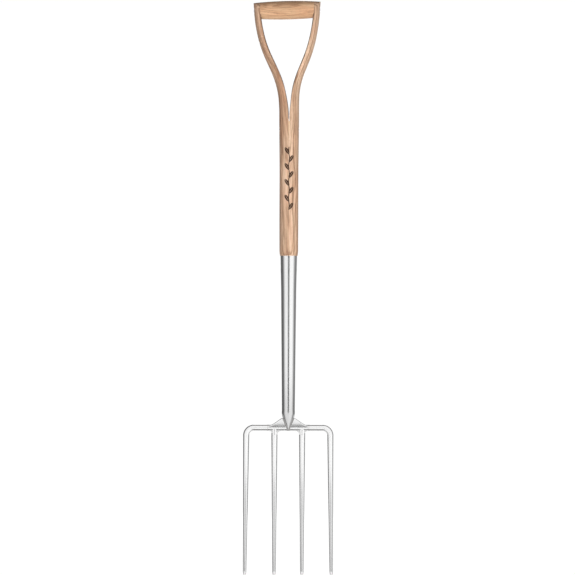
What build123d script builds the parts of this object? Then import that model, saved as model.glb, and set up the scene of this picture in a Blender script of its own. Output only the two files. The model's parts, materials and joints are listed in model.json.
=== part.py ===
"""Four-tine digging fork: an ash shaft bent into a split D handle, and a stainless steel socket and head.

Millimetres. +Z runs up the handle, -Y is the working face that the tines curve towards, and the tine
tips stand on Z = 0. Each piece is first modelled with the shaft's axis on X = Y = 0. The export then
slides the whole tool so that the origin lies under the middle of its footprint.
"""

from build123d import *
from math import acos, degrees, hypot, sqrt
import os

# ---------------------------------------------------------------- driving dimensions
# Head
SHOULDER_Z = 284.6  # centre line of the bar that carries the four tines
BAR_HEIGHT = 11.8  # also the width of each tine at its top
BAR_DEPTH = 11.0
TREAD_DROP = 0.3  # the bar's oval is worn flat by this much on top, where a boot stands
INNER_TINE_X = 27.0
OUTER_TINE_X = 82.0
OUTER_BEND_RADIUS = 14.6  # on the bar's centre line, where the shoulder turns down
OUTER_FLARE = 0.45  # degrees that each outer tine leans outwards
TINE_TOP_Z = SHOULDER_Z - OUTER_BEND_RADIUS
ROOT_NARROWING = 0.5  # an inner tine thins by this much as it enters the bar
TINE_END_WIDTH = 6.5
TINE_END_DEPTH = 6.0
TINE_LIFT = 40.0  # how far the tips come forward of the shaft's axis
TINE_STATIONS = 7
POINT_LENGTH = 6.0
POINT_WIDTH = 4.6
POINT_DEPTH = 3.6
POINT_Z = 0.3  # middle of the blunt end, whose lower edge stands on the ground
WELD_PLANE_X = 40.0  # where each outer tine is butt welded to the centre forging
WELD_GAP = 2.0
WELD_PROUD = 0.15
WEB_FOOT_THICKNESS = 10.8  # the web's faces run into the bar's
WEB_TOP_THICKNESS = 8.6
WEB_HALF_BASE = 38.0
WEB_HALF_TOP = 12.6
WEB_TOP_Z = 303.6
WEB_SINK = 0.9  # the web's outer ends start this far below the bar's top
WEB_SLOPE = (9.0, 5.0)  # run and drop of the web's edge as it leaves the socket
WEB_ROUNDING = 2.2
WEB_FOOT_RUN = 8.0  # the edge flattens over this length as it meets the bar
INNER_FILLET = 7.0  # under the bar, between the two inner tines
OUTER_FILLET = 4.0  # under the bar, outside the inner tines
GUSSET_BITE = 3.0  # how far these fillets reach into the bar and the tine
GUSSET_THICKNESS = 8.2
TANG_HALF_WIDTH = 7.5
TANG_TOP_Z = 336.0

# Socket
SOCKET_TOP_Z = 620.0
SOCKET_WAIST_Z = 552.0  # the taper is steeper above this height
SOCKET_NECK_Z = 318.0
SOCKET_TOP_RADIUS = 16.1
SOCKET_WAIST_RADIUS = 14.65
SOCKET_NECK_RADIUS = 12.5
SOCKET_WALL = 1.8
NOSE_POINT_Z = 281.0
NOSE_SHAPE = (  # share of the way down, then half width and half depth as shares of the neck's radius
    (0.0, 1.0, 1.0),
    (0.3, 0.93, 0.94),
    (0.5, 0.73, 0.82),
    (0.72, 0.45, 0.66),
    (1.0, 0.1, 0.52),
)
SEAM_WIDTH = 2.4
SEAM_PROUD = 0.2
NOSE_WELD_SIZE = 1.8
SOCKET_RIVET_Z = (592.0, 520.0)
SOCKET_RIVET_RADIUS = 2.5
SOCKET_RIVET_PROUD = 0.2  # the ends are ground almost flush with the socket

# Shaft
TENON_END_Z = 430.0
FIT_GAP = 0.05  # radial room at each glued or driven fit
SHOULDER_RADIUS = 17.0  # wood at the socket's mouth
EASE_MIDDLE_Z = 624.5
EASE_MIDDLE_RADIUS = 17.75
EASE_TOP_Z = 634.0
EASE_TOP_RADIUS = 18.15
STRAIGHT_FOOT_Z = 690.0
STRAIGHT_TOP_Z = 790.0
SHAFT_RADIUS = 18.35  # between the two heights above
THROAT_RADIUS = 19.3
KERF_FOOT_Z = 846.0
THROAT_Z = 886.0  # where the two arms part
KERF_WALL_X = 0.6  # the saw kerf is twice this wide
WEDGE_FOOT_WIDTH = 0.7
WEDGE_TOP_WIDTH = 2.9
WEDGE_TOP_Z = 882.0
THROAT_RIVET_Z = 866.0
THROAT_RIVET_RADIUS = 2.0
THROAT_HEAD_RADIUS = 3.0
THROAT_HEAD_RISE = 0.6
BURR_RADIUS = 4.2
BURR_THICKNESS = 0.7
BURR_RECESS = 1.3

# Arms of the D
ARM_BEND_START_Z = 907.2
ARM_BEND_STAGGER = 10.1  # the right arm starts to bend this much higher, the left one this much lower
ARM_BEND_END_Z = 1099.0
ARM_LOWER_REACH = 83.0  # how far the lower straight run carries into the bend
ARM_REACH_STAGGER = 12.0  # shorter on the right, longer on the left
ARM_UPPER_REACH = 113.0
ARM_TOP_X = 64.5
ARM_TOP_SPLAY = 0.074  # sideways run of the arm's top per unit of height
HANDLE_LEAN = 4.7  # the bent D sits this far towards -X of the shaft's axis at the grip
ARM_WIDTHS = (  # height, and the arm's width across the D there
    (THROAT_Z, THROAT_RADIUS - KERF_WALL_X),
    (900.0, 18.5),
    (925.0, 16.3),
    (965.0, 14.5),
    (1120.0, 12.4),
)
ARM_TOP_DEPTH = 16.6  # half of it
ARM_STATIONS = 9
ARM_CORNER = 3.0  # rounding of an arm's edges
BEND_CORNER = 1.5  # the same where the bend starts
CORNER_GROWTH = 6.0  # and how fast it grows along the bend
THROAT_CORNERS = (0.3, 0.8)  # at the throat, and half way from there to the bend
ARM_TOP_SPARE = 6.0  # arm above the grip, before it is rounded off with it

# Grip
GRIP_Z = 1098.6
GRIP_RADIUS = 18.0
GRIP_CROWN_RADIUS = 760.0  # the long arc of the barrel
GRIP_TILT = 1.43  # degrees, rising towards +X
GRIP_LIP = 0.8  # the grip's ends wrap this far round the arms' inner edges
TENON_RADIUS = 8.0
TENON_LENGTH = 8.0
MORTISE_SPARE = 0.2  # room at the end of each mortise
ROD_RADIUS = 3.0
ROD_HEAD_RADIUS = 4.2
ROD_HEAD_RISE = 0.7
ROD_WASHER_RADIUS = 6.0
ROD_WASHER_THICKNESS = 1.0
ROD_RECESS = 1.7  # depth of the washer's seat below the arm's outermost point

MESH_TOLERANCE = 0.05  # for measuring the tool's outermost points
OVERLAP = 1.0  # how far joined or cut shapes reach past each other's faces

LEFT_RIGHT = (-1, 1)
CENTRED_UP = (Align.CENTER, Align.CENTER, Align.MIN)  # stands on the XY plane, centred on the Z axis


# ---------------------------------------------------------------- head
def tine_section(z, width, depth):
    """Oval section of a tine at height z, square to its forward curve, which is one arc."""
    drop = TINE_TOP_Z - z
    radius = (TINE_TOP_Z**2 + TINE_LIFT**2) / (2 * TINE_LIFT)
    rest = sqrt(radius**2 - drop**2)
    plane = Plane((0, rest - radius, z), x_dir=(1, 0, 0), z_dir=(0, -drop, -rest))
    return plane * Ellipse(width / 2, depth / 2)


def tine_blade():
    """A tapering tine on X = 0, from the height where the outer shoulders turn down to its point."""
    sections = []
    for i in range(TINE_STATIONS):
        share = i / (TINE_STATIONS - 1)
        width = BAR_HEIGHT + (TINE_END_WIDTH - BAR_HEIGHT) * share
        depth = BAR_DEPTH + (TINE_END_DEPTH - BAR_DEPTH) * share
        sections.append(tine_section(TINE_TOP_Z + (POINT_LENGTH - TINE_TOP_Z) * share, width, depth))
    tip = tine_section(POINT_Z, POINT_WIDTH, POINT_DEPTH)
    return loft(sections) + loft([sections[-1], tip], ruled=True)


def bar_section(x):
    """Section of the shoulder bar, facing +X."""
    plane = Plane((x, 0, SHOULDER_Z), x_dir=(0, 0, 1), z_dir=(1, 0, 0))
    return plane * Ellipse(BAR_HEIGHT / 2, BAR_DEPTH / 2)


def tread_space(start_x, end_x):
    """Room above the flat tread on top of the bar."""
    block = Box(end_x - start_x, 2 * BAR_DEPTH, BAR_HEIGHT, align=(Align.MIN, Align.CENTER, Align.MIN))
    return Pos(start_x, 0, SHOULDER_Z + BAR_HEIGHT / 2 - TREAD_DROP) * block


def outer_tine(blade):
    """Right outer tine: a bar that leaves the weld, turns down at the shoulder and runs to its point."""
    start_x = WELD_PLANE_X + WELD_GAP / 2
    bend_x = OUTER_TINE_X - OUTER_BEND_RADIUS
    bend_centre = Pos(bend_x, 0, TINE_TOP_Z)
    shoulder = extrude(bar_section(start_x), bend_x - start_x) - tread_space(start_x, bend_x)
    elbow = revolve(bar_section(bend_x), Axis((bend_x, 0, TINE_TOP_Z), (0, 1, 0)), 90 - OUTER_FLARE)
    hung_blade = Rot(0, -OUTER_FLARE, 0) * Pos(OUTER_BEND_RADIUS, 0, -TINE_TOP_Z) * blade
    return shoulder + elbow + bend_centre * hung_blade


def corner_gusset(x, toward, size):
    """Concave fillet in the angle between the bar's underside and the flank of a tine on one side of x."""
    flank = BAR_HEIGHT / 2 - GUSSET_BITE
    span = GUSSET_BITE + size
    place = Plane.XZ * Pos(x + toward * flank, SHOULDER_Z - flank)
    square = place * Pos(toward * span / 2, -span / 2) * Rectangle(span, span)
    round_cut = place * Pos(toward * span, -span) * Circle(size)
    return extrude(square - round_cut, GUSSET_THICKNESS / 2, both=True)


def web_sides():
    """The web seen from the side: its faces leave the bar upright and close in towards the socket."""
    foot = WEB_FOOT_THICKNESS / 2
    top = WEB_TOP_THICKNESS / 2
    back = TangentArc((foot, SHOULDER_Z), (top, WEB_TOP_Z), tangent=(0, 1))
    front = TangentArc((-foot, SHOULDER_Z), (-top, WEB_TOP_Z), tangent=(0, 1))
    tang = Polyline((top, WEB_TOP_Z), (top, TANG_TOP_Z), (-top, TANG_TOP_Z), (-top, WEB_TOP_Z))
    side_view = make_face(Curve() + [back, tang, front, Line((-foot, SHOULDER_Z), (foot, SHOULDER_Z))])
    return extrude(Plane.YZ * side_view, WEB_HALF_BASE, both=True)


def web_plate():
    """Arched web that carries the load from the socket to the bar, with its tang inside the socket."""
    base_z = SHOULDER_Z + BAR_HEIGHT / 2 - WEB_SINK
    run, drop = WEB_SLOPE
    right_edge, left_edge = [
        Bezier(
            (side * WEB_HALF_TOP, WEB_TOP_Z),
            (side * (WEB_HALF_TOP + run), WEB_TOP_Z - drop),
            (side * (WEB_HALF_BASE - WEB_FOOT_RUN), base_z),
            (side * WEB_HALF_BASE, base_z),
        )
        for side in (1, -1)
    ]
    tang = Polyline(
        (WEB_HALF_TOP, WEB_TOP_Z),
        (TANG_HALF_WIDTH, WEB_TOP_Z),
        (TANG_HALF_WIDTH, TANG_TOP_Z),
        (-TANG_HALF_WIDTH, TANG_TOP_Z),
        (-TANG_HALF_WIDTH, WEB_TOP_Z),
        (-WEB_HALF_TOP, WEB_TOP_Z),
    )
    foot = Polyline(
        (-WEB_HALF_BASE, base_z),
        (-WEB_HALF_BASE, SHOULDER_Z),
        (WEB_HALF_BASE, SHOULDER_Z),
        (WEB_HALF_BASE, base_z),
    )
    outline = make_face(Curve() + [right_edge, tang, left_edge, foot])
    plate = extrude(Plane.XZ * outline, BAR_DEPTH, both=True) & web_sides()
    rim_reach = WEB_HALF_BASE - OVERLAP
    above_bar = [edge for edge in plate.edges() if base_z < edge.center().Z < WEB_TOP_Z]
    rims = [edge for edge in above_bar if WEB_HALF_TOP < abs(edge.center().X) < rim_reach]
    return fillet(rims, WEB_ROUNDING)


def head_centre(blade):
    """Centre forging: bar, web, tang and the two inner tines."""
    half_bar = WELD_PLANE_X - WELD_GAP / 2
    body = extrude(bar_section(-half_bar), 2 * half_bar) + web_plate()
    root_top = Plane.XY.offset(SHOULDER_Z) * Ellipse(BAR_HEIGHT / 2, (BAR_DEPTH - ROOT_NARROWING) / 2)
    root = loft([tine_section(TINE_TOP_Z, BAR_HEIGHT, BAR_DEPTH), root_top], ruled=True)
    for side in LEFT_RIGHT:
        x = side * INNER_TINE_X
        body += Pos(x, 0, 0) * (blade + root)
        body += corner_gusset(x, side, OUTER_FILLET)
        body += corner_gusset(x, -side, INNER_FILLET)
    return body


def shoulder_welds():
    """The two butt welds that join the outer tines to the centre forging."""
    plane = Plane((-WELD_PLANE_X - WELD_GAP / 2, 0, SHOULDER_Z), x_dir=(0, 0, 1), z_dir=(1, 0, 0))
    bead = Ellipse(BAR_HEIGHT / 2 + WELD_PROUD, BAR_DEPTH / 2 + WELD_PROUD)
    left = extrude(plane * bead, WELD_GAP)
    return [left, Pos(2 * WELD_PLANE_X, 0, 0) * left]


# ---------------------------------------------------------------- socket
def socket_body(growth, bottom_z, top_z):
    """Solid of revolution inside the socket's two-stage taper, its radius changed by growth."""
    outline = Plane.XZ * Polygon(
        (0, SOCKET_NECK_Z),
        (SOCKET_NECK_RADIUS + growth, SOCKET_NECK_Z),
        (SOCKET_WAIST_RADIUS + growth, SOCKET_WAIST_Z),
        (SOCKET_TOP_RADIUS + growth, SOCKET_TOP_Z),
        (0, SOCKET_TOP_Z),
        align=None,
    )
    full = revolve(outline, Axis.Z)
    reach = 3 * SOCKET_TOP_RADIUS
    slab = Box(reach, reach, top_z - bottom_z, align=CENTRED_UP)
    return full & Pos(0, 0, bottom_z) * slab


def nose(growth):
    """Swaged lower end of the socket, drawn down to a point over the web's two faces."""
    span = SOCKET_NECK_Z - NOSE_POINT_Z + growth
    sections = [
        Plane.XY.offset(SOCKET_NECK_Z - share * span)
        * Ellipse(half_x * SOCKET_NECK_RADIUS + growth, half_y * SOCKET_NECK_RADIUS + growth)
        for share, half_x, half_y in NOSE_SHAPE
    ]
    return loft(sections)


def seam_slab():
    """Upright slab through the back of the socket, where its rolled edges meet."""
    height = SOCKET_TOP_Z - SOCKET_NECK_Z
    corner = (Align.CENTER, Align.MIN, Align.MIN)
    return Pos(0, 0, SOCKET_NECK_Z) * Box(SEAM_WIDTH, 2 * SOCKET_TOP_RADIUS, height, align=corner)


def socket_rivet(z):
    """Rivet through the socket and the shaft from side to side, its ends following the socket's round."""
    pin = Rot(0, 90, 0) * Cylinder(SOCKET_RIVET_RADIUS, 3 * SOCKET_TOP_RADIUS)
    return Pos(0, 0, z) * pin & socket_body(SOCKET_RIVET_PROUD, SOCKET_NECK_Z, SOCKET_TOP_Z)


def rivet_hole(z):
    """Clearance hole for one socket rivet."""
    return Pos(0, 0, z) * Rot(0, 90, 0) * Cylinder(SOCKET_RIVET_RADIUS + FIT_GAP, 4 * SHAFT_RADIUS)


def dome(radius, rise):
    """Low dome standing on Z = 0."""
    ball = (radius**2 + rise**2) / (2 * rise)
    above = Box(4 * radius, 4 * radius, 2 * rise, align=CENTRED_UP)
    return (Pos(0, 0, rise - ball) * Sphere(ball)) & above


# ---------------------------------------------------------------- shaft and arms
def bezier(points, t):
    """Point and unit tangent of a cubic Bezier curve in X and Z."""
    u = 1 - t
    weights = (u**3, 3 * u * u * t, 3 * u * t * t, t**3)
    slopes = (-3 * u * u, 3 * u * u - 6 * u * t, 6 * u * t - 3 * t * t, 3 * t * t)
    place = [sum(w * p[k] for w, p in zip(weights, points)) for k in (0, 1)]
    run = [sum(w * p[k] for w, p in zip(slopes, points)) for k in (0, 1)]
    length = hypot(*run)
    return place[0], place[1], run[0] / length, run[1] / length


def arm_outline(side):
    """Control points of an arm's outer edge, with X counted outwards from the shaft's axis."""
    top_x = ARM_TOP_X - side * HANDLE_LEAN
    start_z = ARM_BEND_START_Z + side * ARM_BEND_STAGGER
    lower_reach = ARM_LOWER_REACH - side * ARM_REACH_STAGGER
    return (
        (THROAT_RADIUS, start_z),
        (THROAT_RADIUS, start_z + lower_reach),
        (top_x - ARM_TOP_SPLAY * ARM_UPPER_REACH, ARM_BEND_END_Z - ARM_UPPER_REACH),
        (top_x, ARM_BEND_END_Z),
    )


def arm_size(z):
    """Width of an arm across the D, and half its depth, at height z."""
    for (low, low_width), (high, high_width) in zip(ARM_WIDTHS, ARM_WIDTHS[1:]):
        if z <= high:
            break
    width = low_width + (high_width - low_width) * (z - low) / (high - low)
    rise = (z - THROAT_Z) / (GRIP_Z + GRIP_RADIUS - THROAT_Z)
    return width, THROAT_RADIUS + (ARM_TOP_DEPTH - THROAT_RADIUS) * rise


def arm_section(side, x, z, tx, tz, corner):
    """D-shaped section of an arm: an ellipse cut off by the split, with eased edges.

    At the throat it is exactly the shaft's own circle, cut by the wall of the kerf.
    """
    width, half_depth = arm_size(z)
    outward = Vector(side * tz, 0, -tx)
    inner = Vector(side * x, 0, z) - outward * width
    across = width + KERF_WALL_X
    half_angle = degrees(acos(KERF_WALL_X / across))
    curve = EllipticalCenterArc(
        (-KERF_WALL_X, 0), across, half_depth, start_angle=-half_angle, arc_size=2 * half_angle
    )
    flat = Line(curve @ 1, curve @ 0)
    face = make_face(Curve() + [curve, flat])
    face = fillet(face.vertices(), corner)
    return Plane(inner, x_dir=outward, z_dir=(side * tx, 0, tz)) * face


def arm(side):
    """One bent half of the split shaft, from the throat to above the grip."""
    outline = arm_outline(side)
    sections = [
        arm_section(side, THROAT_RADIUS, THROAT_Z, 0, 1, THROAT_CORNERS[0]),
        arm_section(side, THROAT_RADIUS, (THROAT_Z + outline[0][1]) / 2, 0, 1, THROAT_CORNERS[1]),
    ]
    for i in range(ARM_STATIONS):
        t = i / (ARM_STATIONS - 1)
        x, z, tx, tz = bezier(outline, t)
        sections.append(arm_section(side, x, z, tx, tz, min(ARM_CORNER, BEND_CORNER + CORNER_GROWTH * t)))
    run = GRIP_RADIUS + ARM_TOP_SPARE
    sections.append(arm_section(side, x + tx * run, z + tz * run, tx, tz, ARM_CORNER))
    return loft(sections)


def grip_place():
    """Where the grip sits: centred on the leaning D and tilted with it."""
    return Pos(-HANDLE_LEAN, 0, GRIP_Z) * Rot(0, -GRIP_TILT, 0)


def grip_end_space(side):
    """Room beyond one end of the grip, which its lip may not pass."""
    x, z, tx, tz = bezier(arm_outline(side), 1)
    outward = Vector(side * tz, 0, -tx)
    width, half_depth = arm_size(z)
    end = Vector(side * x, 0, z) - outward * (width - GRIP_LIP)
    room = Box(4 * width, 4 * half_depth, 8 * GRIP_RADIUS, align=(Align.MIN, Align.CENTER, Align.CENTER))
    return Plane(end, x_dir=outward, z_dir=(side * tx, 0, tz)) * room


def barrel(half_length):
    """Barrel about the X axis, its side one long arc."""
    end_radius = GRIP_RADIUS - GRIP_CROWN_RADIUS + sqrt(GRIP_CROWN_RADIUS**2 - half_length**2)
    crown = ThreePointArc((-half_length, end_radius), (0, GRIP_RADIUS), (half_length, end_radius))
    base = Polyline(
        (half_length, end_radius),
        (half_length, 0),
        (-half_length, 0),
        (-half_length, end_radius),
    )
    return revolve(make_face(Curve() + [crown, base]), Axis.X)


def rounded_top():
    """Space that the arms may fill: all below the grip's axis, and the grip's own barrel above it."""
    reach = 1.5 * ARM_TOP_X
    height = 2 * (GRIP_Z - THROAT_Z)
    below = Pos(0, 0, -height) * Box(2 * reach, 4 * THROAT_RADIUS, height, align=CENTRED_UP)
    return grip_place() * (barrel(reach) + below)


def throat_key(extra):
    """Tapered key at the foot of the saw kerf, before it is trimmed to the shaft's round."""
    foot = (WEDGE_FOOT_WIDTH + extra) / 2
    top = (WEDGE_TOP_WIDTH + extra) / 2
    outline = Plane.XZ * Polygon(
        (-foot, KERF_FOOT_Z), (foot, KERF_FOOT_Z), (top, WEDGE_TOP_Z), (-top, WEDGE_TOP_Z), align=None
    )
    return extrude(outline, 2 * THROAT_RADIUS, both=True)


def kerf():
    """Saw cut between the key and the throat, with the key's own room below it."""
    cut_foot_z = WEDGE_TOP_Z - OVERLAP
    cut = Box(2 * KERF_WALL_X, 4 * THROAT_RADIUS, THROAT_Z - cut_foot_z, align=CENTRED_UP)
    return Pos(0, 0, cut_foot_z) * cut + throat_key(2 * FIT_GAP)


def shaft_blank():
    """Turned shaft from the end of its tenon to the throat."""
    ease = ThreePointArc(
        (SHOULDER_RADIUS, SOCKET_TOP_Z), (EASE_MIDDLE_RADIUS, EASE_MIDDLE_Z), (EASE_TOP_RADIUS, EASE_TOP_Z)
    )
    outline = Polyline(
        (EASE_TOP_RADIUS, EASE_TOP_Z),
        (SHAFT_RADIUS, STRAIGHT_FOOT_Z),
        (SHAFT_RADIUS, STRAIGHT_TOP_Z),
        (THROAT_RADIUS, THROAT_Z),
        (0, THROAT_Z),
        (0, SOCKET_TOP_Z),
        (SHOULDER_RADIUS, SOCKET_TOP_Z),
    )
    above = revolve(Plane.XZ * make_face(Curve() + [ease, outline]), Axis.Z)
    return above + socket_body(-SOCKET_WALL - FIT_GAP, TENON_END_Z, SOCKET_TOP_Z)


def side_fixing(radius, head_radius, head_rise, washer_radius, washer_thickness, half_span, recess):
    """Rod along X with a domed head sunk in each side, its two washers, and the room they need."""
    seat = half_span - recess
    rod = Rot(0, 90, 0) * Cylinder(radius, 2 * (seat + washer_thickness) + head_rise)
    bore = Rot(0, 90, 0) * Cylinder(radius + FIT_GAP, 3 * half_span)
    washers = []
    for side in LEFT_RIGHT:
        outwards = Rot(0, side * 90, 0)
        head = dome(head_radius, head_rise)
        rod += Pos(side * (seat + washer_thickness + FIT_GAP), 0, 0) * outwards * head
        disc = Cylinder(washer_radius, washer_thickness, align=CENTRED_UP)
        hole = Cylinder(radius + FIT_GAP, 4 * washer_thickness)
        washers.append(Pos(side * seat, 0, 0) * outwards * (disc - hole))
        room = Cylinder(washer_radius + FIT_GAP, 3 * washer_radius, align=CENTRED_UP)
        bore += Pos(side * seat, 0, 0) * outwards * room
    return rod, washers, bore


# ---------------------------------------------------------------- the pieces together
def handle():
    """Shaft, grip, throat wedge and their fixings, as a dict of node name to solids."""
    arms = [arm(side) & rounded_top() for side in LEFT_RIGHT]
    place = grip_place()
    half_span = ARM_TOP_X
    grip_end = half_span - arm_size(GRIP_Z)[0]
    tenon = Rot(0, 90, 0) * Cylinder(TENON_RADIUS, 2 * TENON_LENGTH)
    mortise = Rot(0, 90, 0) * Cylinder(TENON_RADIUS + FIT_GAP, 2 * (TENON_LENGTH + MORTISE_SPARE))
    tenons = [place * Pos(side * grip_end, 0, 0) * tenon for side in LEFT_RIGHT]
    mortises = [place * Pos(side * grip_end, 0, 0) * mortise for side in LEFT_RIGHT]
    rod, washers, rod_room = side_fixing(
        ROD_RADIUS,
        ROD_HEAD_RADIUS,
        ROD_HEAD_RISE,
        ROD_WASHER_RADIUS,
        ROD_WASHER_THICKNESS,
        half_span,
        ROD_RECESS,
    )
    rivet, burrs, rivet_room = side_fixing(
        THROAT_RIVET_RADIUS,
        THROAT_HEAD_RADIUS,
        THROAT_HEAD_RISE,
        BURR_RADIUS,
        BURR_THICKNESS,
        throat_radius(THROAT_RIVET_Z),
        BURR_RECESS,
    )
    at_throat = Pos(0, 0, THROAT_RIVET_Z)

    shaft = shaft_blank() - kerf()
    for one in arms:
        shaft += one
    shaft = shaft - mortises - place * rod_room - at_throat * rivet_room
    for z in SOCKET_RIVET_Z:
        shaft -= rivet_hole(z)

    grip = place * barrel(half_span) - arms - [grip_end_space(side) for side in LEFT_RIGHT]
    grip = max(grip.solids(), key=lambda solid: solid.volume) + tenons
    grip -= place * Rot(0, 90, 0) * Cylinder(ROD_RADIUS + FIT_GAP, 3 * half_span)

    wedge = throat_key(0) & shaft_blank() - at_throat * rivet_room
    return {
        "handle_shaft": [shaft],
        "handle_grip": [grip],
        "grip_rod": [place * rod],
        "grip_rod_washers": [place * w for w in washers],
        "throat_wedge": [wedge],
        "throat_rivet": [at_throat * rivet],
        "throat_rivet_burrs": [at_throat * b for b in burrs],
    }


def throat_radius(z):
    """Radius of the shaft's gentle upper taper at height z."""
    share = (z - STRAIGHT_TOP_Z) / (THROAT_Z - STRAIGHT_TOP_Z)
    return SHAFT_RADIUS + share * (THROAT_RADIUS - SHAFT_RADIUS)


def nose_welds(centre):
    """Weld beads along the socket's pointed end, one on each face of the web."""
    foot_z = NOSE_POINT_Z - NOSE_WELD_SIZE
    height = WEB_TOP_Z - foot_z
    width = 4 * SOCKET_NECK_RADIUS
    reach = WEB_TOP_THICKNESS / 2 + NOSE_WELD_SIZE
    bead = nose(NOSE_WELD_SIZE) - nose(0) - centre
    beads = []
    for toward in ((Align.CENTER, Align.MAX, Align.MIN), (Align.CENTER, Align.MIN, Align.MIN)):
        half = bead & Pos(0, 0, foot_z) * Box(width, reach, height, align=toward)
        beads.append(max(half.solids(), key=lambda solid: solid.volume))
    return beads


def metalwork():
    """Socket, head and their welds and rivets, as a dict of node name to solids."""
    blade = tine_blade()
    centre = head_centre(blade)
    bore = socket_body(-SOCKET_WALL, SOCKET_NECK_Z, SOCKET_TOP_Z)
    tube = socket_body(0, SOCKET_NECK_Z, SOCKET_TOP_Z) - bore
    seam = (socket_body(SEAM_PROUD, SOCKET_NECK_Z, SOCKET_TOP_Z) - bore) & seam_slab()
    socket = tube - seam_slab() + (nose(0) - centre)
    for z in SOCKET_RIVET_Z:
        socket -= rivet_hole(z)
    return {
        "head_centre": [centre],
        "outer_tine_left": [mirror(outer_tine(blade), Plane.YZ)],
        "outer_tine_right": [outer_tine(blade)],
        "shoulder_welds": shoulder_welds(),
        "socket": [socket],
        "socket_seam_weld": [seam],
        "socket_nose_welds": nose_welds(centre),
        "socket_rivets": [socket_rivet(z) for z in SOCKET_RIVET_Z],
    }


def export(nodes):
    """Slides the tool so that its footprint is centred on the origin, and writes one STEP per node."""
    os.makedirs("parts", exist_ok=True)
    pieces = {name: [s for shape in shapes for s in shape.solids()] for name, shapes in nodes.items()}
    corners = [v for solids in pieces.values() for s in solids for v in s.tessellate(MESH_TOLERANCE)[0]]
    depths = [v.Y for v in corners]
    slide = Pos(0, -(min(depths) + max(depths)) / 2, -min(v.Z for v in corners))
    for name, solids in pieces.items():
        moved = [slide * s for s in solids]
        piece = moved[0] if len(moved) == 1 else Compound(children=moved)
        export_step(piece, os.path.join("parts", name + ".step"))
    print("the shaft's axis is at Y", slide.position.Y, "and everything rose by", slide.position.Z)


export({**handle(), **metalwork()})
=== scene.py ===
"""Looks of the digging fork: bent ash handle, polished stainless steel socket and head, in a white studio.

Metres, in the row frame. +Z is up the handle and -Y is the working face, which the camera looks at. The grain
of the ash is worked out in the CAD drawing's millimetres, about the shaft's axis.
"""

import json
import math

import bpy
import numpy as np
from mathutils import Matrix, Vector

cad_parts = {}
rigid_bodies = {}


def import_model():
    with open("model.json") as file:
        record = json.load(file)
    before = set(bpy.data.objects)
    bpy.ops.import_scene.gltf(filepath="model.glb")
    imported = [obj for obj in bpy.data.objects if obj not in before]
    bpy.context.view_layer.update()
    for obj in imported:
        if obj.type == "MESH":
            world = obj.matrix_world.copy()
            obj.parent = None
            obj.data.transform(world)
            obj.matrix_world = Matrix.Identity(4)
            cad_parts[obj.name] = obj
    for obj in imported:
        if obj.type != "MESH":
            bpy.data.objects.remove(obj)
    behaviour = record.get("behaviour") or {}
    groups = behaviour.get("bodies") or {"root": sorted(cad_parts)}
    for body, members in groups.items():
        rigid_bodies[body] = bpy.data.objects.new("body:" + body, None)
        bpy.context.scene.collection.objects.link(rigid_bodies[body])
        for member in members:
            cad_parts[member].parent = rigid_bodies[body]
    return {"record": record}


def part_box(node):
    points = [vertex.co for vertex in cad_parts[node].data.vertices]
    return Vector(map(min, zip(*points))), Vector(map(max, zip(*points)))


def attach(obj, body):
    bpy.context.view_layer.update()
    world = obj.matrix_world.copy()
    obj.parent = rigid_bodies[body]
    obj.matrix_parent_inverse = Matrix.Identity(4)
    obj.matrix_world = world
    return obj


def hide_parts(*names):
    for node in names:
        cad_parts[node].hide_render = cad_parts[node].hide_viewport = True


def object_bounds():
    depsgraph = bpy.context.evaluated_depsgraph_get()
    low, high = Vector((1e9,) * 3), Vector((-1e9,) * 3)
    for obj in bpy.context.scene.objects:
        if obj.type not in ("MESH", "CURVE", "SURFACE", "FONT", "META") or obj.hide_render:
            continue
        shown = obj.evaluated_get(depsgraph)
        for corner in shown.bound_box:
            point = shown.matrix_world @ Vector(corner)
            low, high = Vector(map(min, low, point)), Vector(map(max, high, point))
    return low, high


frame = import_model()
cad_low, cad_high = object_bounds()

MM = 0.001
UPRIGHT = math.radians(90)
WHITE = (1.0, 1.0, 1.0, 1.0)


def middle(corners):
    """The centre of a box that is given by its lowest and highest corners."""
    low_corner, high_corner = corners
    return (low_corner + high_corner) / 2


TOOL_MIDDLE = middle((cad_low, cad_high))
ROD_MIDDLE = middle(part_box("grip_rod"))
SHAFT_Y = ROD_MIDDLE.y  # the shaft's axis, forward to back


# ---------------------------------------------------------------- grain coordinates
# The ash handle as the CAD drawing bends it, in millimetres. A stagger or a lean is added for one arm and
# taken away for the other.
THROAT_Z = 886.0
THROAT_RADIUS = 19.3
ARM_BEND_START_Z = 907.2
ARM_BEND_STAGGER = 10.1
ARM_BEND_END_Z = 1099.0
ARM_LOWER_REACH = 83.0
ARM_REACH_STAGGER = 12.0
ARM_UPPER_REACH = 113.0
ARM_TOP_X = 64.5
ARM_TOP_SPLAY = 0.074
HANDLE_LEAN = -ROD_MIDDLE.x / MM
GRIP_Z = 1098.6
LIFT = ROD_MIDDLE.z - GRIP_Z * MM  # the height in the frame of the drawing's zero, in metres

# How finely an arm's outer edge is followed
STRAIGHT_POINTS = 40
CURVE_POINTS = 240
POINTS_PAST_THE_TOP = 29

# Where the grip and the wedge lie in the ash, so that their grain differs from the shaft's
GRIP_BOARD = np.array([31.0, 4.0, 260.0])
WEDGE_BOARD = np.array([55.0, 20.0, 300.0])


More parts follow.
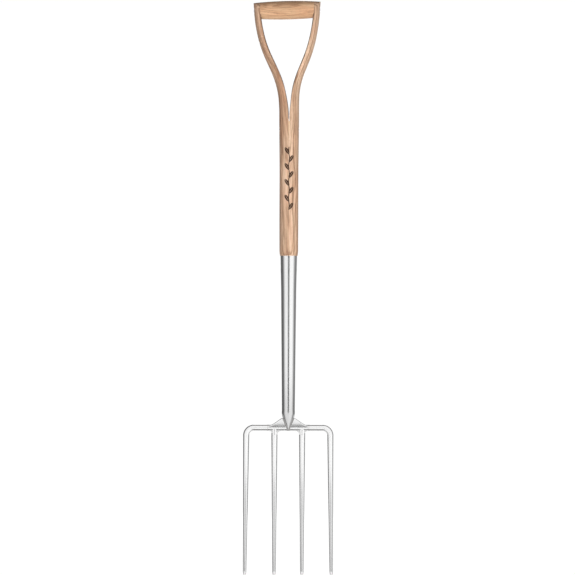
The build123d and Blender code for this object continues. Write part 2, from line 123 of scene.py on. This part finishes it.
def arm_outline(side):
    """Points along an arm's outer edge in X and Z, and their distance along it, in millimetres."""
    top_x = ARM_TOP_X - side * HANDLE_LEAN
    start_z = ARM_BEND_START_Z + side * ARM_BEND_STAGGER
    reach = ARM_LOWER_REACH - side * ARM_REACH_STAGGER
    start, start_pull, end_pull, end = np.array(
        [
            (THROAT_RADIUS, start_z),
            (THROAT_RADIUS, start_z + reach),
            (top_x - ARM_TOP_SPLAY * ARM_UPPER_REACH, ARM_BEND_END_Z - ARM_UPPER_REACH),
            (top_x, ARM_BEND_END_Z),
        ]
    )
    t = np.linspace(0, 1, CURVE_POINTS)[:, None]
    u = 1 - t
    curve = u**3 * start + 3 * u * u * t * start_pull + 3 * u * t * t * end_pull + t**3 * end
    straight_z = np.linspace(THROAT_Z, start_z, STRAIGHT_POINTS, endpoint=False)
    straight = np.column_stack([np.full_like(straight_z, THROAT_RADIUS), straight_z])
    above = curve[-1] + (curve[-1] - curve[-2]) * np.arange(1, POINTS_PAST_THE_TOP + 1)[:, None]
    points = np.vstack([straight, curve, above])
    along = np.concatenate([[0], np.cumsum(np.linalg.norm(np.diff(points, axis=0), axis=1))])
    return points, along


def shaft_grain(points):
    """Where each point of the shaft lay in the straight blank, before it was split and bent."""
    grain = points.copy()
    for side in (-1, 1):
        chosen = (points[:, 2] > THROAT_Z) & (side * points[:, 0] > 0)
        place = np.column_stack([side * points[chosen, 0], points[chosen, 2]])
        outline, along = arm_outline(side)
        gaps = np.linalg.norm(place[:, None, :] - outline[None, :, :], axis=2)
        nearest = gaps.argmin(axis=1)
        depth = gaps[np.arange(len(nearest)), nearest]
        grain[chosen, 0] = side * (THROAT_RADIUS - depth)
        grain[chosen, 2] = THROAT_Z + along[nearest]
    return grain


def grip_grain(points):
    """The grip's grain runs along X, so that axis takes the place of the shaft's length."""
    return np.column_stack([points[:, 2] - GRIP_Z, points[:, 1], points[:, 0]]) + GRIP_BOARD


def wedge_grain(points):
    """The wedge's grain runs up the shaft, in another part of the ash."""
    return points + WEDGE_BOARD


def drawing_points(mesh):
    """A mesh's vertices in the drawing's millimetres, about the shaft's axis."""
    points = np.array([v.co for v in mesh.vertices], float)
    return (points - np.array([0, SHAFT_Y, LIFT])) / MM


def store_grain(piece, grain_of):
    """Writes a grain coordinate for every vertex of a piece."""
    attribute = piece.data.attributes.new("grain", "FLOAT_VECTOR", "POINT")
    grain = grain_of(drawing_points(piece.data))
    attribute.data.foreach_set("vector", grain.astype(np.float32).ravel())


# ---------------------------------------------------------------- shader building
def srgb(red, green, blue):
    """Linear colour with alpha, from 8-bit sRGB values."""
    shares = (red / 255, green / 255, blue / 255)
    return tuple(c / 12.92 if c <= 0.04045 else ((c + 0.055) / 1.055) ** 2.4 for c in shares) + (1.0,)


class Graph:
    """A material's node tree, with short names for the nodes that this script uses."""

    def __init__(self, tree):
        self.tree = tree
        tree.nodes.clear()

    def node(self, kind, inputs=(), **settings):
        made = self.tree.nodes.new(kind)
        for key, value in settings.items():
            setattr(made, key, value)
        for key, value in dict(inputs).items():
            self.feed(made.inputs[key], value)
        return made

    def feed(self, socket, value):
        if isinstance(value, bpy.types.NodeSocket):
            self.tree.links.new(value, socket)
        else:
            socket.default_value = value

    def output(self, shader, kind="ShaderNodeOutputMaterial"):
        self.node(kind, {"Surface": shader})

    # numbers
    def math(self, operation, *values, clamp=False):
        made = self.node("ShaderNodeMath", operation=operation, use_clamp=clamp)
        for socket, value in zip(made.inputs, values):
            self.feed(socket, value)
        return made.outputs[0]

    def total(self, first, *others):
        for value in others:
            first = self.math("ADD", first, value)
        return first

    def product(self, first, *others):
        for value in others:
            first = self.math("MULTIPLY", first, value)
        return first

    def less(self, value, taken):
        return self.math("SUBTRACT", value, taken)

    def square(self, value):
        return self.math("POWER", value, 2.0)

    def spread(self, share, low, high):
        """Takes a share of 0 to low and a share of 1 to high."""
        return self.total(self.product(share, high - low), low)

    def sway(self, noise, amount):
        """Noise moved to stand about zero, and made this amount from end to end."""
        return self.product(self.less(noise, 0.5), amount)

    def band(self, value, low, high, out_low=0.0, out_high=1.0):
        """Smooth step of value from low to high."""
        settings = {0: value, 1: low, 2: high, 3: out_low, 4: out_high}
        return self.node("ShaderNodeMapRange", settings, interpolation_type="SMOOTHSTEP").outputs[0]

    def fade(self, value, low, high, last=0.0):
        """Smooth fall from one, at low, to the last value, at high."""
        return self.band(value, low, high, 1.0, last)

    def pick(self, flag, otherwise, chosen):
        """The chosen number where the flag is one, and the other where it is zero."""
        settings = {0: flag, 2: otherwise, 3: chosen}
        return self.node("ShaderNodeMix", settings, data_type="FLOAT").outputs[0]

    # places and patterns
    def place(self):
        """The shaded point in the frame, in metres."""
        return self.node("ShaderNodeTexCoord").outputs["Object"]

    def parts(self, vector):
        return self.node("ShaderNodeSeparateXYZ", {0: vector}).outputs

    def stretch(self, vector, scale, shift=(0, 0, 0)):
        settings = {"Vector": vector, "Scale": scale, "Location": shift}
        return self.node("ShaderNodeMapping", settings).outputs[0]

    def noise(self, vector, across, along, detail=2.0, roughness=0.5):
        """Noise with its own number of cycles for each unit of length across the piece and along it."""
        stretched = self.stretch(vector, (across, across, along))
        settings = {"Vector": stretched, "Scale": 1.0, "Detail": detail, "Roughness": roughness}
        return self.node("ShaderNodeTexNoise", settings).outputs[0]

    # colours, relief and light
    def mix(self, share, first, second, blend="MIX"):
        made = self.node("ShaderNodeMix", data_type="RGBA", blend_type=blend, clamp_result=True)
        self.feed(made.inputs[0], share)
        self.feed(made.inputs[6], first)
        self.feed(made.inputs[7], second)
        return made.outputs[2]

    def tinted(self, colour, tint):
        return self.mix(1.0, colour, tint, "MULTIPLY")

    def grey(self, value):
        return self.node("ShaderNodeCombineColor", {0: value, 1: value, 2: value}).outputs[0]

    def bump(self, height, distance, strength):
        settings = {"Height": height, "Distance": distance, "Strength": strength}
        return self.node("ShaderNodeBump", settings).outputs[0]

    def glow(self, strength):
        return self.node("ShaderNodeEmission", {"Color": WHITE, "Strength": strength}).outputs[0]


def new_material(name):
    material = bpy.data.materials.new(name)
    material.use_nodes = True
    return material, Graph(material.node_tree)


def surface(graph, **inputs):
    """Principled surface wired to the output."""
    names = {
        "colour": "Base Color",
        "rough": "Roughness",
        "metal": "Metallic",
        "normal": "Normal",
        "specular": "Specular IOR Level",
    }
    settings = {names[key]: value for key, value in inputs.items()}
    graph.output(graph.node("ShaderNodeBsdfPrincipled", settings).outputs[0])


# ---------------------------------------------------------------- leaf sprig
# Millimetres of the blank. An edge is the pair of values between which a mark comes or goes.
SPRIG_FOOT = 709.0
SPRIG_PERIOD = 15.4
SPRIG_LEAVES = 8
SPRIG_FOOT_EDGE = (-0.5, 0.5)
SPRIG_TOP_EDGE = (SPRIG_LEAVES - 0.05, SPRIG_LEAVES)
SPRIG_FRONT_EDGE = (-6.0, -4.0)
LEAF_TURN = math.radians(58)
LEAF_OFFSET = 3.9
LEAF_HALF_LENGTH = 7.5
LEAF_HALF_WIDTH = 3.3
LEAF_EDGE = (0.85, 1.1)
VEIN_EDGE = (0.15, 0.4)
VEIN_BURN = 0.4
STEM_SWAY = 0.7
STEM_EDGE = (0.75, 1.1)


def sprig_leaf(g, u, cell):
    """The leaf of each cell, on alternate sides of the stem, with a paler vein."""
    odd = g.math("MODULO", g.math("FLOOR", cell), 2.0)
    side = g.less(1.0, g.product(odd, 2.0))
    up = g.product(g.less(g.math("FRACT", cell), 0.5), SPRIG_PERIOD)
    out = g.less(g.product(u, side), LEAF_OFFSET)
    along = g.total(g.product(out, math.cos(LEAF_TURN)), g.product(up, math.sin(LEAF_TURN)))
    over = g.total(g.product(out, -math.sin(LEAF_TURN)), g.product(up, math.cos(LEAF_TURN)))
    length_share = g.math("DIVIDE", along, LEAF_HALF_LENGTH)
    width_share = g.math("DIVIDE", over, LEAF_HALF_WIDTH)
    blade = g.fade(g.total(g.square(length_share), g.square(width_share)), *LEAF_EDGE)
    off_vein = g.band(g.math("ABSOLUTE", over), *VEIN_EDGE)
    return g.product(blade, g.spread(off_vein, VEIN_BURN, 1.0))


def leaf_sprig(g, u, v, w):
    """Burnt sprig of alternating leaves along the front of the shaft: 1 on the mark, 0 elsewhere."""
    height = g.less(w, SPRIG_FOOT)
    cell = g.math("DIVIDE", height, SPRIG_PERIOD)
    wave = g.math("SINE", g.product(cell, math.pi))
    from_stem = g.math("ABSOLUTE", g.less(u, g.product(wave, STEM_SWAY)))
    mark = g.math("MAXIMUM", sprig_leaf(g, u, cell), g.fade(from_stem, *STEM_EDGE))
    on_front = g.fade(v, *SPRIG_FRONT_EDGE)
    return g.product(mark, g.band(height, *SPRIG_FOOT_EDGE), on_front, g.fade(cell, *SPRIG_TOP_EDGE))


# ---------------------------------------------------------------- painted shade in the crotch, and reddened wood
# From a little above the throat, the left arm's split edge is a parabola in X and Z
SPLIT_EDGE_X = -0.65
SPLIT_EDGE_BASE_Z = THROAT_Z + 7.0
SPLIT_EDGE_CURVE = 0.0033
# Where the painted shadow line along that edge lies: across the edge, and from its foot to its head
CROTCH_LINE_EDGE = (-2.4, -1.0)
CROTCH_LINE_FOOT = (THROAT_Z - 1.0, THROAT_Z + 3.0)
CROTCH_LINE_HEAD = (915.0, 945.0)

# Where the painted shade on the arms' inner faces lies: by how far a face turns inwards, and from the throat
# up
INWARD_EDGE = (0.15, 0.8)
SPLIT_SHADE_FOOT = (THROAT_Z - 4.0, THROAT_Z + 10.0)

HEART_SIDE = (-3.0, 3.0)
HEART_FOOT = (815.0, 885.0)
HEART_HEAD = (950.0, 1080.0)
HEART_HEAD_SHARE = 0.25
HEART_PATCH_EDGE = (0.3, 0.6)
HEART_PATCH_SHARES = (0.55, 1.0)


def crotch_shade_line(g):
    """A painted shadow line along the left arm's split edge, from the throat upwards, where the right arm
    shades it.
    """
    x, _, z = g.parts(g.stretch(g.place(), (1 / MM, 1 / MM, 1 / MM)))
    climb = g.math("MAXIMUM", g.less(z, SPLIT_EDGE_BASE_Z), 0.0)
    edge_x = g.less(SPLIT_EDGE_X, g.product(g.square(climb), SPLIT_EDGE_CURVE))
    line = g.band(g.less(x, edge_x), *CROTCH_LINE_EDGE)
    left_arm = g.math("LESS_THAN", x, 0.0)
    return g.product(line, left_arm, g.band(z, *CROTCH_LINE_FOOT), g.fade(z, *CROTCH_LINE_HEAD))


def split_shade(g, u, w):
    """Painted shade on the arms' inner faces, which face the other arm and are shaded by it: 1 there, 0
    elsewhere.
    """
    normal_x = g.parts(g.node("ShaderNodeNewGeometry").outputs["Normal"])[0]
    inwards = g.product(normal_x, g.math("SIGN", u), -1.0)
    return g.product(g.band(inwards, *INWARD_EDGE), g.band(w, *SPLIT_SHADE_FOOT))


def heart_streak(g, grain, u, w):
    """Redder heartwood in the left arm, strongest just above the throat."""
    along = g.product(g.band(w, *HEART_FOOT), g.fade(w, *HEART_HEAD, last=HEART_HEAD_SHARE))
    patches = g.noise(grain, across=0.16, along=0.01, detail=3.0, roughness=0.6)
    patchy = g.band(patches, *HEART_PATCH_EDGE, *HEART_PATCH_SHARES)
    return g.product(g.fade(u, *HEART_SIDE), along, patchy)


# ---------------------------------------------------------------- ash
# The log, in millimetres from the middle of the shaft
PITH_ASIDE = 5.0
PITH_BEHIND = 44.0
RING_WIDTH = 3.1
RING_WANDER = 16.0
LOG_TAPER = 0.012
BLUSH_SHIFT = (90, 0, 0)

# Edges of the patterns, as shares of a ring or as heights of their noise
RING_RISE = (0.0, 0.12)
RING_FALL = (0.2, 0.75)
DRIFT_EDGE = (0.3, 0.7)
BLUSH_EDGE = (0.35, 0.7)
PORE_EDGE = (0.54, 0.64)
FLECK_EDGE = (0.64, 0.72)
RAGGED_EDGE = (0.25, 0.5)
RAGGED_SHARES = (0.75, 1.0)
FAINTEST_RING = 0.4
PORES_OF_LATE_WOOD = 0.2

# How much each pattern darkens the wood, where 0 is its lightest shade and 1 is its darkest
BASE_TONE = 0.12
DRIFT_TONE = 0.3
FIBRE_TONE = 0.9
STREAK_TONE = 0.6
MIDDLE_TONE = 0.5

PORE_BROWN = srgb(104, 74, 54)
FLECK_BROWN = srgb(134, 98, 72)
CROTCH_SHADE_BROWN = srgb(66, 44, 32)
# The brown of the painted shade on the arms' inner faces and in the crotch
BURNT_BROWN = srgb(48, 26, 17)
ROSY_TINT = (1.03, 0.955, 0.94, 1.0)
HEART_TINT = (0.82, 0.72, 0.66, 1.0)
PORE_SHARE = 0.7
FLECK_SHARE = 0.22
# How far the painted shade in the crotch goes towards its brown
CROTCH_SHADE_SHARE = 0.85
BURNT_SHARE = 0.97

# Relief is a share of the bump's distance
ASH_BUMP_DISTANCE = 0.12 * MM
ASH_BUMP_STRENGTH = 0.6
FIBRE_RELIEF = 0.35
PORE_RELIEF = -0.8
EARLY_RELIEF = -0.15
BURNT_RELIEF = -1.2
ASH_SPECULAR = 0.35
ASH_ROUGHNESS = 0.42
EARLY_ROUGHNESS = 0.12
FIBRE_ROUGHNESS = 0.14
BURNT_ROUGHNESS = 0.25


def early_wood(g, grain, u, v, w):
    """The open-pored part of each ring, which is stronger in some rings than in others. A ring's number comes
    from the distance to the pith, which is behind the shaft, from a slow wander and from the log's taper."""
    from_pith = g.math("SQRT", g.total(g.square(g.less(u, PITH_ASIDE)), g.square(g.less(v, PITH_BEHIND))))
    wander = g.product(g.noise(grain, across=0.045, along=0.0075), RING_WANDER)
    ring = g.math("DIVIDE", g.total(from_pith, wander, g.product(w, LOG_TAPER)), RING_WIDTH)
    phase = g.math("FRACT", ring)
    early = g.product(g.band(phase, *RING_RISE), g.fade(phase, *RING_FALL))
    number = {"W": g.math("FLOOR", ring)}
    own_strength = g.node("ShaderNodeTexWhiteNoise", number, noise_dimensions="1D").outputs[0]
    return g.product(early, g.spread(own_strength, FAINTEST_RING, 1.0))


def ash_colour(g, grain, early, fibre, pores, shades, ring_tone):
    """From light to dark by ring, drift, fibre and streak, then a rosy drift, dark pores and brown flecks."""
    light, middle, dark = shades
    drift = g.band(g.noise(grain, across=0.07, along=0.012, detail=3.0), *DRIFT_EDGE)
    streak = g.band(g.noise(grain, across=0.38, along=0.012, detail=3.0, roughness=0.6), *DRIFT_EDGE)
    elsewhere = g.stretch(grain, (1, 1, 1), BLUSH_SHIFT)
    blush = g.band(g.noise(elsewhere, across=0.09, along=0.018), *BLUSH_EDGE)
    fleck = g.band(g.noise(grain, across=1.3, along=0.22, detail=1.0), *FLECK_EDGE)
    tone = g.total(
        g.product(early, ring_tone),
        g.product(g.less(1.0, drift), DRIFT_TONE),
        g.sway(fibre, FIBRE_TONE),
        g.sway(streak, STREAK_TONE),
    )
    tone = g.math("ADD", tone, BASE_TONE, clamp=True)
    colour = g.mix(g.band(tone, 0.0, MIDDLE_TONE), light, middle)
    colour = g.mix(g.band(tone, MIDDLE_TONE, 1.0), colour, dark)
    colour = g.mix(blush, colour, g.tinted(colour, ROSY_TINT))
    colour = g.mix(g.product(pores, PORE_SHARE), colour, PORE_BROWN)
    return g.mix(g.product(fleck, FLECK_SHARE), colour, FLECK_BROWN)


def ash_material(name, shades, ring_tone, bent_shaft=False):
    """Oiled ash: rings about a pith, rows of open pores, fine fibre and slow colour drift. The bent shaft has
    reddened and burnt places as well, and painted shade on the arms' inner faces and in the crotch."""
    material, g = new_material(name)
    grain = g.node("ShaderNodeAttribute", attribute_name="grain").outputs["Vector"]
    u, v, w = g.parts(grain)
    early = early_wood(g, grain, u, v, w)
    fibre = g.noise(grain, across=1.1, along=0.03, detail=4.0, roughness=0.65)
    pores = g.band(g.noise(grain, across=2.2, along=0.12, detail=1.0), *PORE_EDGE)
    pores = g.product(pores, g.spread(early, PORES_OF_LATE_WOOD, 1.0))
    colour = ash_colour(g, grain, early, fibre, pores, shades, ring_tone)
    height = g.total(
        g.product(fibre, FIBRE_RELIEF),
        g.product(pores, PORE_RELIEF),
        g.product(early, EARLY_RELIEF),
    )
    rough = g.total(ASH_ROUGHNESS, g.product(early, EARLY_ROUGHNESS), g.product(fibre, FIBRE_ROUGHNESS))
    if bent_shaft:
        colour = g.mix(heart_streak(g, grain, u, w), colour, g.tinted(colour, HEART_TINT))
        # Painted shade: the arms' inner faces and a line in the crotch are darkened towards brown, where the
        # other arm shades them
        painted_crotch_shade = g.math("MAXIMUM", split_shade(g, u, w), crotch_shade_line(g))
        colour = g.mix(g.product(painted_crotch_shade, CROTCH_SHADE_SHARE), colour, CROTCH_SHADE_BROWN)
        ragged = g.band(g.noise(grain, across=1.6, along=0.5), *RAGGED_EDGE, *RAGGED_SHARES)
        burnt = g.product(leaf_sprig(g, u, v, w), ragged)
        colour = g.mix(g.product(burnt, BURNT_SHARE), colour, BURNT_BROWN)
        height = g.total(height, g.product(burnt, BURNT_RELIEF))
        rough = g.total(rough, g.product(burnt, BURNT_ROUGHNESS))
    normal = g.bump(height, ASH_BUMP_DISTANCE, ASH_BUMP_STRENGTH)
    surface(g, colour=colour, rough=rough, normal=normal, specular=ASH_SPECULAR)
    return material


# ---------------------------------------------------------------- steel
HEAT_STRAW = srgb(178, 150, 112)
CLOUD_TONE = 0.05
LINE_ROUGHNESS = 0.07
SMEAR_ROUGHNESS = 0.06
LINE_RELIEF = 0.25
CLOUD_RELIEF = 0.6
STEEL_BUMP_DISTANCE = 0.05 * MM
STEEL_BUMP_STRENGTH = 0.35

# The darkening is complete this far below its height, and gone this far above it
DARKENED_SHARE = 0.78
DARKENING_BELOW = 0.07
DARKENING_ABOVE = 0.05


def steel_material(name, tone, rough, warmth=0.0, ripple=0.0, darkening_height=None):
    """Polished steel: fine lengthwise polishing lines and cloudy roughness. A weld has heat colour and
    ripples too, and steel with a darkening height has a darker colour below it."""
    material, g = new_material(name)
    place = g.place()
    if darkening_height:
        edge = (darkening_height - DARKENING_BELOW, darkening_height + DARKENING_ABOVE)
        tone = g.product(g.band(g.parts(place)[2], *edge, DARKENED_SHARE, 1.0), tone)
    lines = g.noise(place, across=1500, along=14, detail=3.0, roughness=0.6)
    cloud = g.noise(place, across=60, along=18, detail=3.0)
    smear = g.noise(place, across=220, along=40)
    colour = g.mix(warmth, g.grey(g.total(tone, g.sway(cloud, CLOUD_TONE))), HEAT_STRAW)
    roughness = g.total(rough, g.sway(lines, LINE_ROUGHNESS), g.sway(smear, SMEAR_ROUGHNESS))
    height = g.total(g.product(lines, LINE_RELIEF), g.product(cloud, CLOUD_RELIEF))
    if ripple:
        height = g.total(height, g.product(g.noise(place, across=700, along=700, detail=1.0), ripple))
    normal = g.bump(height, STEEL_BUMP_DISTANCE, STEEL_BUMP_STRENGTH)
    surface(g, colour=colour, rough=roughness, metal=1.0, normal=normal)
    return material


def weld_material(name, tone):
    return steel_material(name, tone, rough=0.3, warmth=0.06, ripple=1.6)


# ---------------------------------------------------------------- pieces
# Lightest, middle and darkest shade of each wooden piece
SHAFT_SHADES = (srgb(220, 190, 163), srgb(194, 160, 132), srgb(150, 116, 92))
GRIP_SHADES = (srgb(216, 178, 142), srgb(198, 158, 122), srgb(166, 126, 94))
WEDGE_SHADES = (srgb(236, 214, 184), srgb(224, 198, 164), srgb(200, 170, 134))


def dress(piece, material):
    piece.data.materials.clear()
    piece.data.materials.append(material)


def wooden_copy(node, name, material, grain_of):
    """A copy of a wooden CAD piece that carries grain coordinates."""
    piece = bpy.data.objects.new(name, bpy.data.objects[node].data.copy())
    bpy.context.scene.collection.objects.link(piece)
    store_grain(piece, grain_of)
    dress(piece, material)
    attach(piece, "root")
    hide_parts(node)


def build_handle():
    shaft_ash = ash_material("ash_shaft", SHAFT_SHADES, ring_tone=0.62, bent_shaft=True)
    grip_ash = ash_material("ash_grip", GRIP_SHADES, ring_tone=0.5)
    wedge_ash = ash_material("wedge_wood", WEDGE_SHADES, ring_tone=0.3)
    wooden_copy("handle_shaft", "shaft_wood", shaft_ash, shaft_grain)
    wooden_copy("handle_grip", "grip_wood", grip_ash, grip_grain)
    wooden_copy("throat_wedge", "wedge", wedge_ash, wedge_grain)


def dress_metal(subparts):
    """Each steel node takes the look of its slot, but the socket and the welds on its nose have their own."""
    slot_looks = {
        "stainless": steel_material("satin_stainless", tone=0.9, rough=0.15),
        "weld_steel": weld_material("weld_steel", tone=0.78),
        "fixing_steel": steel_material("fixing_steel", tone=0.74, rough=0.26),
    }
    own_looks = {
        # The socket is given a darker colour below this height, towards its nose
        "socket": steel_material("polished_stainless", tone=0.86, rough=0.18, darkening_height=0.36),
        # The nose welds are real weld steel, made much darker than the other welds as painted shade for the
        # dark reflections along the sides of the nose's V
        "socket_nose_welds": weld_material("nose_weld_steel_with_painted_shade", tone=0.42),
    }
    for part in subparts:
        look = own_looks.get(part["node"], slot_looks.get(part["material_slot"]))
        if look:
            dress(bpy.data.objects[part["node"]], look)


# ---------------------------------------------------------------- studio
# Strengths of the world, as the camera, matt surfaces and reflections see it
WORLD_SEEN = 1.03
WORLD_DIFFUSE = 0.07
FRONT_PANEL = 0.88
BACK_PANEL = 0.62
ROOM = 0.24
LEFT_DIMMING = 0.1

# Edges in the world, in degrees: a turn is away from straight ahead of the tool, and a rise is above level
FRONT_PANEL_SIDE = (56.0, 106.0)
LEFT_NARROWING = 9.0
BACK_PANEL_SIDE = (100.0, 125.0)
BACK_PANEL_TOP = (-12.0, -5.0)
SHADING_SIDE = (30.0, 60.0)
HIGH_EDGE = (3.0, 12.0)
HIGH_SHARE = 0.58
TOP_EDGE = (18.0, 32.0)
TOP_SHARE = 0.55
LOW_EDGE = (-66.0, -32.0)
LOW_SHARE = 0.1
LEFT_EDGE = (-0.2, 0.2)  # of the direction's X, which has no unit

PAPER_TONES = (0.88, 0.94)
PAPER_TONE_SHARE_SEEN = 0.05
PAPER_GLOW = 0.35
PAPER_GLOW_SEEN = 1.02
FLOOR_SIZE = 40

# A climb is how far a ray rises for each metre of its length
CLIMB_SOFTNESS = 0.02
LEVEL_CLIMB = 0.045


def build_world():
    """White to the camera. In reflections: a bright panel in front, dimmer high up and dark straight down, a
    dim room at the sides, dimmer on the left, and a softer panel low down behind."""
    world = bpy.data.worlds.new("studio")
    bpy.context.scene.world = world
    world.use_nodes = True
    g = Graph(world.node_tree)
    x, y, z = g.parts(g.node("ShaderNodeTexCoord").outputs["Generated"])
    turn = g.math("ABSOLUTE", g.math("DEGREES", g.math("ARCTAN2", x, g.product(y, -1.0))))
    rise = g.math("DEGREES", g.math("ARCSINE", z))
    left = g.fade(x, *LEFT_EDGE)
    front = g.fade(g.total(turn, g.product(left, LEFT_NARROWING)), *FRONT_PANEL_SIDE)
    back = g.product(g.band(turn, *BACK_PANEL_SIDE), g.fade(rise, *BACK_PANEL_TOP))
    room = g.less(ROOM, g.product(left, LEFT_DIMMING))
    panels = g.total(g.product(front, FRONT_PANEL), g.product(back, BACK_PANEL), room)
    shading = g.product(
        g.fade(rise, *HIGH_EDGE, last=HIGH_SHARE),
        g.fade(rise, *TOP_EDGE, last=TOP_SHARE),
        g.band(rise, *LOW_EDGE, LOW_SHARE, 1.0),
    )
    shaded = g.fade(turn, *SHADING_SIDE)
    strength = g.product(panels, g.total(g.product(shading, shaded), g.less(1.0, shaded)))
    ray = g.node("ShaderNodeLightPath").outputs
    strength = g.pick(ray["Is Diffuse Ray"], strength, WORLD_DIFFUSE)
    strength = g.pick(ray["Is Camera Ray"], strength, WORLD_SEEN)
    background = g.node("ShaderNodeBackground", {"Color": WHITE, "Strength": strength})
    g.output(background.outputs[0], "ShaderNodeOutputWorld")


def floor_material():
    """Pale paper: a matt, faintly glowing floor to the tool, and a burnt-out white one to the camera."""
    material, g = new_material("floor_paper")
    speck = g.noise(g.place(), across=3, along=3)
    seen = g.node("ShaderNodeLightPath").outputs["Is Camera Ray"]
    tone = g.product(g.band(speck, 0.0, 1.0, *PAPER_TONES), g.pick(seen, 1.0, PAPER_TONE_SHARE_SEEN))
    matt = g.node("ShaderNodeBsdfDiffuse", {"Color": g.grey(tone)}).outputs[0]
    glow = g.glow(g.pick(seen, PAPER_GLOW, PAPER_GLOW_SEEN))
    g.output(g.node("ShaderNodeAddShader", {0: matt, 1: glow}).outputs[0])
    return material


def card_material(name, strength, least_climb, most_climb):
    """A studio card for the steel's reflections, shown to rays whose climb lies between two limits."""
    material, g = new_material(name)
    incoming = g.node("ShaderNodeNewGeometry").outputs["Incoming"]
    climb = g.product(g.parts(incoming)[2], -1.0)
    steep_enough = g.band(climb, least_climb - CLIMB_SOFTNESS, least_climb + CLIMB_SOFTNESS)
    level_enough = g.fade(climb, most_climb - CLIMB_SOFTNESS, most_climb + CLIMB_SOFTNESS)
    shown = g.product(steep_enough, level_enough)
    clear = g.node("ShaderNodeBsdfTransparent").outputs[0]
    g.output(g.node("ShaderNodeMixShader", {0: shown, 1: clear, 2: g.glow(strength)}).outputs[0])
    return material


def add_light(name, place, size, power):
    """A soft rectangular lamp, aimed at the middle of the tool, that neither camera nor steel sees."""
    light = bpy.data.lights.new(name, "AREA")
    light.shape = "RECTANGLE"
    light.size, light.size_y = size
    light.energy = power
    lamp = bpy.data.objects.new(name, light)
    bpy.context.scene.collection.objects.link(lamp)
    lamp.location = place
    lamp.rotation_euler = (TOOL_MIDDLE - Vector(place)).to_track_quat("-Z", "Y").to_euler()
    lamp.visible_camera = False
    lamp.visible_glossy = False


def add_card(name, distance, width, foot, top, material):
    """An upright card in front of the tool, hidden from the camera and from matt surfaces."""
    centre = (0, SHAFT_Y - distance, (foot + top) / 2)
    bpy.ops.mesh.primitive_plane_add(size=1, location=centre, rotation=(UPRIGHT, 0, 0))
    card = bpy.context.object
    card.name = name
    card.scale = (width, top - foot, 1)
    card.visible_camera = False
    card.visible_diffuse = False
    card.visible_shadow = False
    dress(card, material)


def add_floor():
    bpy.ops.mesh.primitive_plane_add(size=FLOOR_SIZE, location=(0, 0, 0))
    floor = bpy.context.object
    floor.name = "floor"
    floor.visible_glossy = False
    dress(floor, floor_material())


def build_studio():
    """World, lamps and floor, with a narrow dark card for level rays and a wide bright one for rising rays."""
    build_world()
    add_light("front_soft", place=(0.5, -2.6, 0.75), size=(0.5, 1.4), power=60)
    add_light("back_soft", place=(-0.5, 2.6, 0.9), size=(0.6, 1.4), power=48)
    dark = card_material("dark_card", strength=0.1, least_climb=-0.2, most_climb=LEVEL_CLIMB)
    bright = card_material("bright_card", strength=1.0, least_climb=LEVEL_CLIMB, most_climb=1.0)
    add_card("dark_strip", distance=0.42, width=0.17, foot=0.27, top=0.80, material=dark)
    add_card("bright_card", distance=0.45, width=1.2, foot=0.29, top=2.4, material=bright)
    add_floor()


# ---------------------------------------------------------------- camera
CAMERA_DISTANCE = 10.0
CAMERA_X = -0.0023
CAMERA_Z = 0.5584
CAMERA_ROLL = math.radians(-0.16)
VIEW_HEIGHT = 1.1207
SENSOR_WIDTH = 36.0
NEAR_LIMIT = 0.5
FAR_LIMIT = 60.0


def build_camera():
    """Level and straight on from the working face, through a long lens."""
    camera = bpy.data.cameras.new("camera")
    camera.sensor_width = SENSOR_WIDTH
    camera.lens = SENSOR_WIDTH * CAMERA_DISTANCE / VIEW_HEIGHT
    camera.clip_start = NEAR_LIMIT
    camera.clip_end = FAR_LIMIT
    holder = bpy.data.objects.new("camera", camera)
    bpy.context.scene.collection.objects.link(holder)
    holder.location = (CAMERA_X, SHAFT_Y - CAMERA_DISTANCE, CAMERA_Z)
    holder.rotation_euler = (UPRIGHT, CAMERA_ROLL, 0)
    bpy.context.scene.camera = holder


# ---------------------------------------------------------------- scene
build_handle()
dress_metal(frame["record"]["subparts"])
build_studio()
build_camera()
bpy.context.scene.view_settings.view_transform = "Standard"
bpy.context.view_layer.update()
